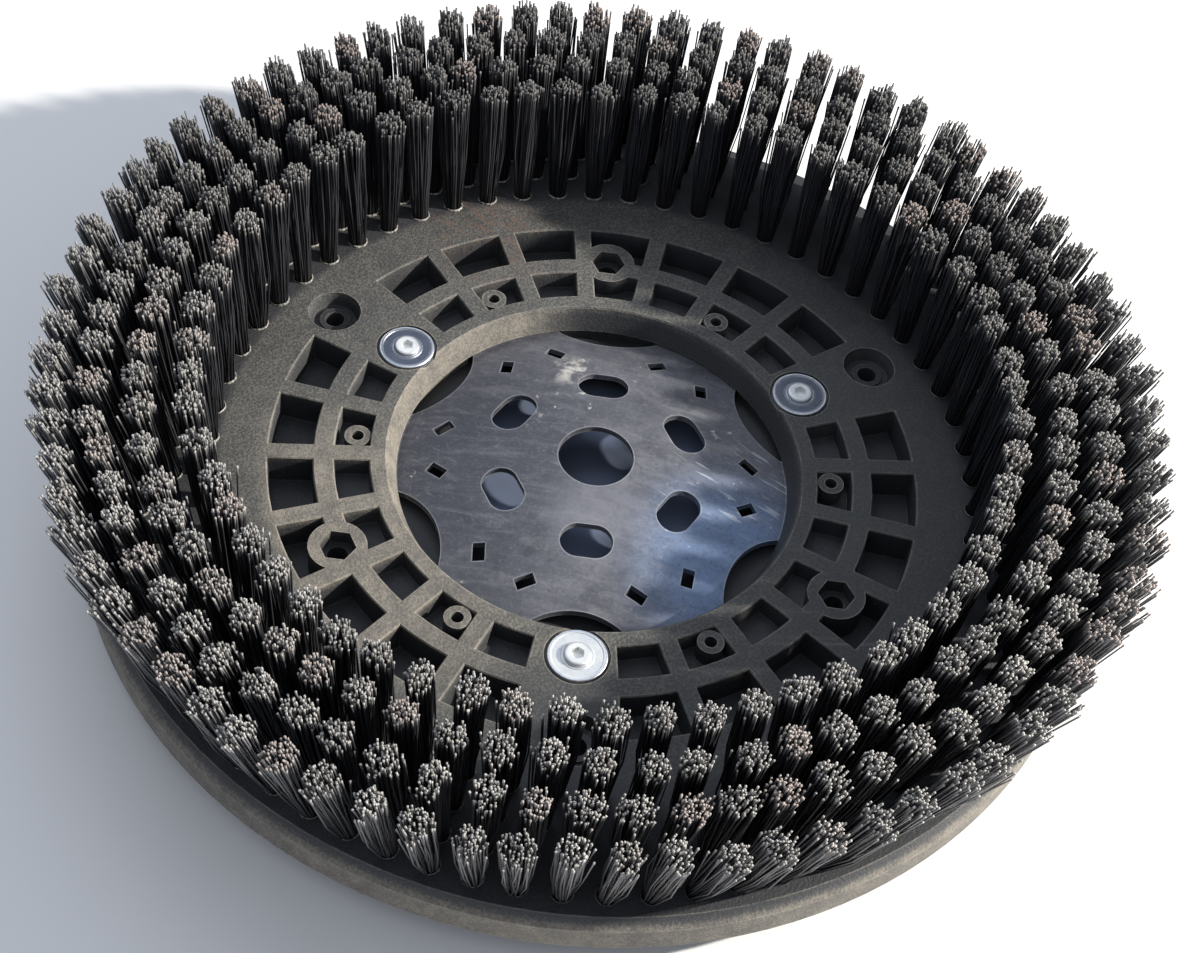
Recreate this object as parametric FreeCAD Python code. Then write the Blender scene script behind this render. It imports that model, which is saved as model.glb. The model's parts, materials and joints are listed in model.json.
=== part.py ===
import FreeCAD, Part
import math
import os

# Disc wheel brush for a washing machine: a moulded round block with four rings of nylon
# tufts, a domed steel drive plate seen through its centre, and a steel mounting flange
# behind it. Millimetres. The origin is on the spin axis, at the back face of the
# mounting flange, where the machine's spindle flange meets it. +Z points along the
# spin axis to the bristle tips, and +X runs through the middle of a solid bridge of
# the rib lattice.

os.makedirs("parts", exist_ok=True)

V = FreeCAD.Vector
AXIS = V(0, 0, 1)
ORIGIN = V(0, 0, 0)
FULL_TURN = 360.0
SECTOR_DEG = 120.0      # the block repeats three times round the axis
LOBE_DEG = 60.0         # the drive plate repeats six times

# Heights along the spin axis
FLANGE_T = 4.0
BLOCK_T = 17.0
BACK_Z = FLANGE_T
FACE_Z = BACK_Z + BLOCK_T
BRISTLE_FREE = 62.0     # from the block's face to the bristle tips

# Brush block
BLOCK_R = 214.0
RIM_CHAMFER = 4.0
OPENING_R = 87.5        # centre opening at the face
OPENING_BACK_R = 83.5   # centre opening at the drive plate
EDGE_BREAK = 0.8
BACK_RECESS = 5.0       # pocket in the back that takes the plate's lobes
BACK_RECESS_R = 111.5
CEILING_Z = BACK_Z + BACK_RECESS

# Rib lattice in the face
DIVISIONS = 24
RIB_W = 8.0
INNER_POCKET = (94.9, 109.5, 9.0)       # inner radius, outer radius, depth
OUTER_POCKET = (118.2, 136.9, 14.0)
POCKET_DRAFT = 0.5
POCKET_EDGE = 0.5

# Bosses and holes of the block. Their circle is turned a little against the ribs.
BOSS_TURN_DEG = 2.0
NUT_BOSS_R = 12.0
NUT_CIRCLE_R = 116.8
NUT_FLATS = 13.3        # pocket for an M8 nut
NUT_POCKET_DEPTH = 7.0
BOLT_HOLE_R = 4.25      # clearance for M8
SCREW_BOSS_R = 5.5
SCREW_CIRCLE_R = 100.5
SCREW_BOSS_DROP = 0.6   # the small bosses end this far below the face
PILOT_R = 2.6
SUNK_CIRCLE_R = 137.8
SUNK_TOP_R = 11.5
SUNK_FLOOR_R = 9.5
SUNK_DEPTH = 6.5
SUNK_LIP_R = 6.6
SUNK_LIP_H = 1.2

# Clamp screws: M8 button heads on large washers
CLAMP_TURN_DEG = 0.8
CLAMP_CIRCLE_R = 100.0
CLAMP_HOLE_R = 4.5
SEAT_R = 13.2
SEAT_DEPTH = 1.6
WASHER_R = 12.0
WASHER_HOLE_R = 4.2
WASHER_T = 2.0
WASHER_DISH = (6.6, 10.6, 0.25)         # inner radius, outer radius and depth of its dished ring
M8_R = 3.95
HEAD_R = 5.7            # low round head
HEAD_H = 1.7
SOCKET_FLATS = 5.0
SOCKET_DEPTH = 2.2
CLAMP_LENGTH = 30.0
M8_NUT_FLATS = 13.0
M8_NUT_HEX_H = 6.4
M8_NUT_H = 8.0
M8_NUT_COLLAR_R = 5.9
M8_NUT_BORE_R = 4.0

# Drive plate
PLATE_T = 3.0
PLATE_TOP_Z = CEILING_Z
DOME_R = 83.0           # the dome meets the flat lobes here
DOME_RISE = 14.3
PLATE_R = 109.5
HUB_BORE_R = 16.0
SCALLOP_CIRCLE_R = 108.0
SCALLOP_R = 35.0
PAD_GAP = 2.0           # between a scallop and the block's pad inside it
HUB_SLOT_CIRCLE_R = 42.5
HUB_SLOT_LENGTH = 22.0
HUB_SLOT_W = 15.0
TAB_SLOT_CIRCLE_R = 66.8
TAB_SLOT_SPREAD_DEG = 10.1
TAB_SLOT_LENGTH = 8.0
TAB_SLOT_W = 5.0
TAB_SLOT_TILT_DEG = 45.0
PLATE_HOLE_R = 2.8

# Screws that hold the drive plate: self-tapping, pan head
TAPPING_R = 2.5
TAPPING_LENGTH = 9.5    # below the head
PAN_R = 5.0
PAN_H = 2.6
CROSS_L = 5.2
CROSS_W = 1.1
CROSS_DEPTH = 1.4

# Mounting flange
FLANGE_R = 130.0
ACCESS_R = 6.5          # holes that clear the plate screws' heads

# Tufts, one row for each ring: count, root radius, tip radius, first tuft's angle
TUFT_RINGS = (
    (60, 161.5, 164.7, 5.3),
    (66, 175.0, 182.9, 3.6),
    (72, 188.5, 200.5, 2.35),
    (78, 201.5, 217.8, 1.45),
)
TUFT_HOLE_R = 3.9
TUFT_HOLE_DEPTH = 12.0
TUFT_ROOT_R = 3.8
TUFT_TIP_R = 5.8
TUFT_ROOT_DEPTH = 11.8
ANCHOR_T = 0.5
ANCHOR_H = 2.4
ANCHOR_LENGTH = 7.4
ANCHOR_PLAY = 0.05


def at(radius, degrees, z=0.0):
    """The point at this radius, angle and height."""
    angle = math.radians(degrees)
    return V(radius * math.cos(angle), radius * math.sin(angle), z)


def turned(shape, degrees):
    """A copy of a shape, turned about the spin axis."""
    copy = shape.copy()
    copy.rotate(ORIGIN, AXIS, degrees)
    return copy


def round_the_axis(shape, step_degrees):
    """Copies of a shape all the way round the spin axis."""
    return [turned(shape, k * step_degrees) for k in range(round(FULL_TURN / step_degrees))]


def revolved(points):
    """The solid of revolution of a closed outline of (radius, z) points."""
    outline = [V(r, 0, z) for r, z in points]
    wire = Part.makePolygon(outline + [outline[0]])
    return Part.Face(wire).revolve(ORIGIN, AXIS, FULL_TURN)


def cylinder(radius, z0, z1, centre=ORIGIN):
    return Part.makeCylinder(radius, z1 - z0, V(centre.x, centre.y, z0))


def hexagon(flats, z0, z1, centre=ORIGIN, turn=0.0):
    """A hexagonal prism by its width across flats."""
    corner_r = flats / 2 / math.cos(math.radians(30))
    corners = [centre + at(corner_r, turn + 60 * k) for k in range(6)]
    corners = [V(p.x, p.y, z0) for p in corners]
    wire = Part.makePolygon(corners + [corners[0]])
    return Part.Face(wire).extrude(V(0, 0, z1 - z0))


def export(shape, node):
    shape.exportStep("parts/" + node + ".step")
    print(node, "solids", len(shape.Solids), "volume", round(shape.Volume))


# ---- Brush block ----

def pocket_wire(r_in, r_out, grow, z):
    """One pocket's outline at a height. Its sides stay parallel to the two ribs."""
    r0 = r_in - grow
    r1 = r_out + grow
    half_rib = RIB_W / 2 - grow
    half_division = FULL_TURN / DIVISIONS / 2
    a0 = half_division - math.degrees(math.asin(half_rib / r0))
    a1 = half_division - math.degrees(math.asin(half_rib / r1))
    inner = Part.Arc(at(r0, -a0, z), at(r0, 0, z), at(r0, a0, z)).toShape()
    right = Part.makeLine(at(r0, a0, z), at(r1, a1, z))
    outer = Part.Arc(at(r1, a1, z), at(r1, 0, z), at(r1, -a1, z)).toShape()
    left = Part.makeLine(at(r1, -a1, z), at(r0, -a0, z))
    return Part.Wire([inner, right, outer, left])


def pocket_cutter(r_in, r_out, depth):
    """A drafted pocket with a broken top edge, on the +X side."""
    sections = [
        pocket_wire(r_in, r_out, -POCKET_DRAFT, FACE_Z - depth),
        pocket_wire(r_in, r_out, 0.0, FACE_Z - POCKET_EDGE),
        pocket_wire(r_in, r_out, 2 * POCKET_EDGE, FACE_Z + POCKET_EDGE),
    ]
    return Part.makeLoft(sections, True, True)


def lattice_cutters():
    """Pockets in every division except the three solid bridges."""
    step = FULL_TURN / DIVISIONS
    per_sector = round(SECTOR_DEG / step)
    cutters = []
    for ring in (INNER_POCKET, OUTER_POCKET):
        one = pocket_cutter(*ring)
        cutters += [turned(one, k * step) for k in range(DIVISIONS) if k % per_sector]
    return cutters


def tuft_frame(shape, root_r, tip_r, degrees):
    """Tilts a shape made about +Z outwards and sets it on a ring at the block's face."""
    placed = shape.copy()
    tilt = math.degrees(math.atan2(tip_r - root_r, BRISTLE_FREE))
    placed.rotate(ORIGIN, V(0, 1, 0), tilt)
    placed.translate(V(root_r, 0, FACE_Z))
    placed.rotate(ORIGIN, AXIS, degrees)
    return placed


def tuft_places():
    """Each ring's list of (root radius, tip radius, angle)."""
    rings = []
    for count, root_r, tip_r, first in TUFT_RINGS:
        rings.append([(root_r, tip_r, first + FULL_TURN * k / count) for k in range(count)])
    return rings


def block_body():
    """The plain turned block with its opening, its back recess and six pads in it."""
    body = revolved([
        (OPENING_R + EDGE_BREAK, FACE_Z),
        (BLOCK_R - RIM_CHAMFER, FACE_Z),
        (BLOCK_R, FACE_Z - RIM_CHAMFER),
        (BLOCK_R, BACK_Z + EDGE_BREAK),
        (BLOCK_R - EDGE_BREAK, BACK_Z),
        (BACK_RECESS_R, BACK_Z),
        (BACK_RECESS_R, CEILING_Z),
        (OPENING_BACK_R + 1.0, CEILING_Z),
        (OPENING_BACK_R, CEILING_Z + 1.0),
        (OPENING_R, FACE_Z - EDGE_BREAK),
    ])
    ring = cylinder(BACK_RECESS_R + 1.0, BACK_Z, CEILING_Z + 1.0)
    ring = ring.cut(cylinder(OPENING_BACK_R + 1.5, BACK_Z, CEILING_Z + 1.0))
    pad_r = SCALLOP_R - PAD_GAP
    pad = ring.common(cylinder(pad_r, BACK_Z, CEILING_Z + 1.0, at(SCALLOP_CIRCLE_R, 0)))
    return body.fuse(round_the_axis(pad, LOBE_DEG))


def brush_block():
    inner_floor = FACE_Z - INNER_POCKET[2]
    outer_floor = FACE_Z - OUTER_POCKET[2]
    block = block_body().cut(lattice_cutters())

    nut_place = at(NUT_CIRCLE_R, SECTOR_DEG / 2 + BOSS_TURN_DEG)
    nut_boss = cylinder(NUT_BOSS_R, outer_floor - 1.0, FACE_Z, nut_place)
    screw_place = at(SCREW_CIRCLE_R, LOBE_DEG / 2 + BOSS_TURN_DEG)
    screw_boss = cylinder(SCREW_BOSS_R, inner_floor - 1.0, FACE_Z - SCREW_BOSS_DROP, screw_place)
    bosses = round_the_axis(nut_boss, SECTOR_DEG) + round_the_axis(screw_boss, LOBE_DEG)
    block = block.fuse(bosses)

    nut_pocket = hexagon(NUT_FLATS, FACE_Z - NUT_POCKET_DEPTH, FACE_Z + 1.0, nut_place, 30)
    nut_bore = cylinder(BOLT_HOLE_R, BACK_Z - 1.0, FACE_Z, nut_place)
    pilot = cylinder(PILOT_R, BACK_Z, FACE_Z + 1.0, screw_place)
    clamp_place = at(CLAMP_CIRCLE_R, CLAMP_TURN_DEG)
    seat = cylinder(SEAT_R, FACE_Z - SEAT_DEPTH, FACE_Z + 1.0, clamp_place)
    clamp_bore = cylinder(CLAMP_HOLE_R, BACK_Z - 1.0, FACE_Z, clamp_place)
    sunk_place = at(SUNK_CIRCLE_R, BOSS_TURN_DEG)
    sunk_z = FACE_Z - SUNK_DEPTH
    sunk = Part.makeCone(SUNK_FLOOR_R, SUNK_TOP_R, SUNK_DEPTH, V(sunk_place.x, sunk_place.y, sunk_z))
    sunk = sunk.cut(cylinder(SUNK_LIP_R, sunk_z, sunk_z + SUNK_LIP_H, sunk_place))
    sunk_bore = cylinder(BOLT_HOLE_R, BACK_Z - 1.0, FACE_Z, sunk_place)
    tools = round_the_axis(pilot, LOBE_DEG)
    for tool in (nut_pocket, nut_bore, seat, clamp_bore, sunk, sunk_bore):
        tools += round_the_axis(tool, SECTOR_DEG)
    block = block.cut(tools)

    hole = cylinder(TUFT_HOLE_R, -TUFT_HOLE_DEPTH, 3.0)
    holes = []
    for ring in tuft_places():
        holes += [tuft_frame(hole, *place) for place in ring]
    return block.cut(holes)


# ---- Drive plate ----

def dome_arc(drop, r_from, r_to):
    """An arc of the dome's profile, lowered by the plate's thickness where asked."""
    ball_r = (DOME_R ** 2 + DOME_RISE ** 2) / (2 * DOME_RISE)
    apex = PLATE_TOP_Z + DOME_RISE - drop

    def on_arc(r):
        return V(r, 0, apex - ball_r + math.sqrt(ball_r ** 2 - r ** 2))
    return Part.Arc(on_arc(r_from), on_arc((r_from + r_to) / 2), on_arc(r_to)).toShape()


def slot(length, width, z0, z1):
    """A slot with round ends along Y, about the axis."""
    reach = (length - width) / 2
    body = Part.makeBox(width, 2 * reach, z1 - z0, V(-width / 2, -reach, z0))
    ends = [cylinder(width / 2, z0, z1, V(0, side * reach, 0)) for side in (-1, 1)]
    return body.fuse(ends).removeSplitter()


def tab_slot(side):
    """A small oblong hole beside a lobe's middle line, tilted towards its twin."""
    low = -10.0
    box = Part.makeBox(TAB_SLOT_W, TAB_SLOT_LENGTH, 60.0, V(-TAB_SLOT_W / 2, -TAB_SLOT_LENGTH / 2, low))
    box.rotate(ORIGIN, AXIS, side * TAB_SLOT_TILT_DEG)
    box.translate(V(TAB_SLOT_CIRCLE_R, 0, 0))
    return turned(box, LOBE_DEG / 2 + side * TAB_SLOT_SPREAD_DEG)


def drive_plate():
    """A pressed disc: a shallow dome, six flat lobes and scallops between them."""
    bottom = PLATE_TOP_Z - PLATE_T
    upper = dome_arc(0.0, 0.0, DOME_R)
    lower = dome_arc(PLATE_T, 0.0, DOME_R)
    top_flat = Part.makeLine(V(DOME_R, 0, PLATE_TOP_Z), V(PLATE_R, 0, PLATE_TOP_Z))
    edge = Part.makeLine(V(PLATE_R, 0, PLATE_TOP_Z), V(PLATE_R, 0, bottom))
    low_flat = Part.makeLine(V(DOME_R, 0, bottom), V(PLATE_R, 0, bottom))
    middle = Part.makeLine(upper.Vertexes[0].Point, lower.Vertexes[0].Point)
    wire = Part.Wire(Part.__sortEdges__([upper, top_flat, edge, low_flat, lower, middle]))
    plate = Part.Face(wire).revolve(ORIGIN, AXIS, FULL_TURN)

    z0 = -10.0
    z1 = 40.0
    scallop = cylinder(SCALLOP_R, z0, z1, at(SCALLOP_CIRCLE_R, 0))
    hub_slot = slot(HUB_SLOT_LENGTH, HUB_SLOT_W, z0, z1)
    hub_slot.translate(V(HUB_SLOT_CIRCLE_R, 0, 0))
    screw_hole = cylinder(PLATE_HOLE_R, z0, z1, at(SCREW_CIRCLE_R, LOBE_DEG / 2 + BOSS_TURN_DEG))
    tools = [cylinder(HUB_BORE_R, z0, z1)]
    for tool in (scallop, hub_slot, screw_hole, tab_slot(-1), tab_slot(1)):
        tools += round_the_axis(tool, LOBE_DEG)
    return plate.cut(tools)


# ---- Mounting flange and fasteners ----

def rear_flange():
    """A flat steel disc that closes the back and bolts to the machine's spindle flange."""
    disc = cylinder(FLANGE_R, 0.0, FLANGE_T)
    clamp = cylinder(CLAMP_HOLE_R, -1.0, FLANGE_T + 1.0, at(CLAMP_CIRCLE_R, CLAMP_TURN_DEG))
    machine_place = at(NUT_CIRCLE_R, SECTOR_DEG / 2 + BOSS_TURN_DEG)
    machine = cylinder(BOLT_HOLE_R, -1.0, FLANGE_T + 1.0, machine_place)
    access_place = at(SCREW_CIRCLE_R, LOBE_DEG / 2 + BOSS_TURN_DEG)
    access = cylinder(ACCESS_R, -1.0, FLANGE_T + 1.0, access_place)
    tools = round_the_axis(clamp, SECTOR_DEG) + round_the_axis(machine, SECTOR_DEG)
    return disc.cut(tools + round_the_axis(access, LOBE_DEG))


def clamp_washer():
    z0 = FACE_Z - SEAT_DEPTH
    soft = 0.3
    dish_in, dish_out, dish_depth = WASHER_DISH
    return revolved([
        (WASHER_HOLE_R, z0),
        (WASHER_R, z0),
        (WASHER_R, z0 + WASHER_T - soft),
        (WASHER_R - soft, z0 + WASHER_T),
        (dish_out, z0 + WASHER_T),
        (dish_out - dish_depth, z0 + WASHER_T - dish_depth),
        (dish_in + dish_depth, z0 + WASHER_T - dish_depth),
        (dish_in, z0 + WASHER_T),
        (WASHER_HOLE_R, z0 + WASHER_T),
    ])


def clamp_screw():
    """Low round head with a hexagon socket, and a plain shank to the back of its nut."""
    seat_z = FACE_Z - SEAT_DEPTH + WASHER_T
    crown_r = 4.0
    skirt = 0.6
    rise = HEAD_H - skirt
    steps = 8
    dome = []
    for k in range(steps + 1):
        angle = math.radians(90 * k / steps)
        dome.append((crown_r + (HEAD_R - crown_r) * math.cos(angle), seat_z + skirt + rise * math.sin(angle)))
    head = revolved([(0, seat_z), (HEAD_R, seat_z)] + dome + [(0, seat_z + HEAD_H)])
    shank = cylinder(M8_R, seat_z - CLAMP_LENGTH, seat_z)
    socket = hexagon(SOCKET_FLATS, seat_z + HEAD_H - SOCKET_DEPTH, seat_z + HEAD_H + 1.0)
    return head.fuse(shank).cut(socket)


def clamp_nut():
    """A locking nut: a hexagon with the collar of its nylon ring, against the flange's back."""
    body = hexagon(M8_NUT_FLATS, -M8_NUT_HEX_H, 0.0)
    collar = cylinder(M8_NUT_COLLAR_R, -M8_NUT_H, -M8_NUT_HEX_H + 0.5)
    return body.fuse(collar).cut(cylinder(M8_NUT_BORE_R, -M8_NUT_H - 1.0, 1.0))


def plate_screw():
    """A self-tapping screw, driven from behind through the plate into a small boss."""
    head_z = PLATE_TOP_Z - PLATE_T
    head = cylinder(PAN_R, head_z - PAN_H, head_z)
    head = head.makeChamfer(0.7, [head.Edges[k] for k in range(len(head.Edges)) if is_low_edge(head.Edges[k])])
    shank = cylinder(TAPPING_R, head_z - 1.0, head_z + TAPPING_LENGTH - 2.0)
    tip = Part.makeCone(TAPPING_R, 0.8, 2.0, V(0, 0, head_z + TAPPING_LENGTH - 2.0))
    screw = head.fuse([shank, tip])
    low = head_z - PAN_H - 1.0
    for length, width in ((CROSS_L, CROSS_W), (CROSS_W, CROSS_L)):
        screw = screw.cut(Part.makeBox(length, width, CROSS_DEPTH + 1.0, V(-length / 2, -width / 2, low)))
    return screw


def is_low_edge(edge):
    """The round edge at a plate screw's head that faces away from the plate."""
    lowest = PLATE_TOP_Z - PLATE_T - PAN_H
    return edge.Closed and abs(edge.BoundBox.ZMax - lowest) < 0.01 and edge.BoundBox.ZLength < 0.01


def placed_copies(shape, node, radius, first_degrees, step_degrees):
    """Writes numbered copies of a fastener, one node each, on their circle."""
    copy = shape.copy()
    copy.translate(V(radius, 0, 0))
    copy.rotate(ORIGIN, AXIS, first_degrees)
    for number, one in enumerate(round_the_axis(copy, step_degrees), 1):
        export(one, node + "_" + str(number))


# ---- Tufts ----

def tuft():
    """One tuft about +Z from its root: a round stem in its hole, spreading to the tip."""
    stem = cylinder(TUFT_ROOT_R, -TUFT_ROOT_DEPTH, 0.0)
    spread = Part.makeCone(TUFT_ROOT_R, TUFT_TIP_R, BRISTLE_FREE, ORIGIN)
    gap = ANCHOR_T + 2 * ANCHOR_PLAY
    fold = Part.makeBox(
        3 * TUFT_ROOT_R, gap, ANCHOR_H + ANCHOR_PLAY,
        V(-1.5 * TUFT_ROOT_R, -gap / 2, -TUFT_ROOT_DEPTH))
    return stem.fuse(spread).cut(fold)


def anchor():
    """The flat wire that a tuft's filaments are folded over, on edge in the hole."""
    return Part.makeBox(
        ANCHOR_LENGTH, ANCHOR_T, ANCHOR_H,
        V(-ANCHOR_LENGTH / 2, -ANCHOR_T / 2, -TUFT_ROOT_DEPTH))


def tuft_rings():
    one_tuft = tuft()
    one_anchor = anchor()
    for number, ring in enumerate(tuft_places(), 1):
        tufts = [tuft_frame(one_tuft, *place) for place in ring]
        anchors = [tuft_frame(one_anchor, *place) for place in ring]
        export(Part.makeCompound(tufts), "tuft_ring_" + str(number))
        export(Part.makeCompound(anchors), "tuft_anchors_" + str(number))


export(brush_block(), "brush_block")
export(drive_plate(), "drive_plate")
export(rear_flange(), "rear_flange")
placed_copies(clamp_washer(), "clamp_washer", CLAMP_CIRCLE_R, CLAMP_TURN_DEG, SECTOR_DEG)
placed_copies(clamp_screw(), "clamp_screw", CLAMP_CIRCLE_R, CLAMP_TURN_DEG, SECTOR_DEG)
placed_copies(clamp_nut(), "clamp_nut", CLAMP_CIRCLE_R, CLAMP_TURN_DEG, SECTOR_DEG)
placed_copies(plate_screw(), "plate_screw", SCREW_CIRCLE_R, LOBE_DEG / 2 + BOSS_TURN_DEG, LOBE_DEG)
tuft_rings()
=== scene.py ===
# %% [markdown]
# # A disc wheel brush, cell by cell
#
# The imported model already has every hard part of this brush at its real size: the moulded block with its
# ribs, the domed drive plate, the rear flange and the fixings. What it can't have is bristles: there each
# tuft is one plain peg. In this lesson we give the hard parts their worn finishes, grow real filaments in
# place of the pegs, raise the small lips round the tuft holes, and light the brush in a plain studio.
#
# We start by emptying the scene, loading the frame and keeping its box, because the finished model has to
# fill the same space.

# %% Load the frame
import json
import math

import bpy
import numpy as np
from mathutils import Matrix, Vector

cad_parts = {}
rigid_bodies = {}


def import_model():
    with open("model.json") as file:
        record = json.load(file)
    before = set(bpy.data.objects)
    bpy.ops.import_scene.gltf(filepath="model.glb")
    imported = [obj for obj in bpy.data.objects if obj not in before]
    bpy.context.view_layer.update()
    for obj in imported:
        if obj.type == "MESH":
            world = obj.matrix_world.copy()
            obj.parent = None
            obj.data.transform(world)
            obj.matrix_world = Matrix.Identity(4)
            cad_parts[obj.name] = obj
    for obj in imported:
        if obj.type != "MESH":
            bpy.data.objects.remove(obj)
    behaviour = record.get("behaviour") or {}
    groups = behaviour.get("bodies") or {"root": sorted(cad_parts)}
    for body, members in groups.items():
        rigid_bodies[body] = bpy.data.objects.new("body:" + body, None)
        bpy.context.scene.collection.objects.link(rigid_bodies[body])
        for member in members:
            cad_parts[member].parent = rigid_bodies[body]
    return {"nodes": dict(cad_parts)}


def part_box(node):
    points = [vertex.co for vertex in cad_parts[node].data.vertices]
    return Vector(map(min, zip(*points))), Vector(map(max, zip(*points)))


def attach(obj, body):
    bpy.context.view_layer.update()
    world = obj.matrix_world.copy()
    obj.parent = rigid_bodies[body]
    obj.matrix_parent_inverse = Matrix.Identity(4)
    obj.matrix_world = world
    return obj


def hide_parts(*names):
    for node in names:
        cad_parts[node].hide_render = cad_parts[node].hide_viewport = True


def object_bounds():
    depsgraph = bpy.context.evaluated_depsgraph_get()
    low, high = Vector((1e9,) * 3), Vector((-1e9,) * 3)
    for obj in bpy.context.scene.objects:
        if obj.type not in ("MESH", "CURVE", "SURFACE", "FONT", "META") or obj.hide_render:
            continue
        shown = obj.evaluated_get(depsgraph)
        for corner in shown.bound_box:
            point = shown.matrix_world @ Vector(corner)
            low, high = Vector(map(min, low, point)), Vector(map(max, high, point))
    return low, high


for leftover in list(bpy.data.objects):
    bpy.data.objects.remove(leftover, do_unlink=True)
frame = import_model()
CAD_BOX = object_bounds()
MM = 0.001
BLOCK_LOW, BLOCK_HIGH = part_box("brush_block")
FACE_Z = BLOCK_HIGH.z
BLOCK_R = (BLOCK_HIGH.x - BLOCK_LOW.x) / 2
print("block radius", round(BLOCK_R, 4), "face at", round(FACE_Z, 4), "overall", CAD_BOX)

# %% [markdown]
# ## Helpers for modelling by hand
#
# Every new piece starts the way a hand would do it: add a primitive, go into edit mode, pick some points,
# and cut, move or scale them. An operator works on all that is selected, so the first helper empties the
# selection. The second picks points in code, by where they are, so no window is needed. The third puts an
# object's place into its mesh.

# %% Selection helpers
def fresh():
    """Leave edit mode if needed and deselect everything."""
    if bpy.context.object and bpy.context.object.mode != "OBJECT":
        bpy.ops.object.mode_set(mode="OBJECT")
    bpy.ops.object.select_all(action="DESELECT")


def pick_points(obj, test):
    """In edit mode, select the points whose place passes a test."""
    bpy.ops.object.mode_set(mode="EDIT")
    bpy.ops.mesh.select_mode(type="VERT")
    bpy.ops.mesh.select_all(action="DESELECT")
    bpy.ops.object.mode_set(mode="OBJECT")
    for point in obj.data.vertices:
        point.select = bool(test(point.co))
    bpy.ops.object.mode_set(mode="EDIT")


def settle(obj, name):
    """Back to object mode, place put into the mesh, name given; the object stays the active one."""
    fresh()
    obj.select_set(True)
    bpy.context.view_layer.objects.active = obj
    bpy.ops.object.transform_apply(location=True, rotation=True, scale=True)
    obj.name = obj.data.name = name
    obj.select_set(False)
    return obj


print("helpers ready")

# %% [markdown]
# ## Writing materials as sums
#
# A material is a graph of nodes, but most of what it does is arithmetic: this mask times that noise, one
# minus the result. The small class below wraps a socket, so a Python sum adds the Math nodes for us.
# Colours don't go through Math nodes, which would turn them grey: they go through Mix. Patterns are read
# from Object coordinates in metres, so a grain of half a millimetre has a scale of about two thousand.

# %% The material class
class Val:
    """A number socket that can be used in Python sums."""

    def __init__(self, mat, socket):
        self.mat, self.socket = mat, socket

    def _op(self, kind, a, b):
        return self.mat.node("ShaderNodeMath", {"operation": kind}, a, b)

    def __add__(self, o): return self._op("ADD", self, o)
    def __radd__(self, o): return self._op("ADD", o, self)
    def __sub__(self, o): return self._op("SUBTRACT", self, o)
    def __rsub__(self, o): return self._op("SUBTRACT", o, self)
    def __mul__(self, o): return self._op("MULTIPLY", self, o)
    def __rmul__(self, o): return self._op("MULTIPLY", o, self)
    def __pow__(self, o): return self._op("POWER", self, o)

    def clamp(self):
        return self.mat.node("ShaderNodeClamp", {}, self)

    def ramp(self, low, high, to_low=0.0, to_high=1.0):
        """Smoothly from to_low at low to to_high at high."""
        return self.mat.node("ShaderNodeMapRange", {"interpolation_type": "SMOOTHSTEP"},
                             self, low, high, to_low, to_high)


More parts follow.
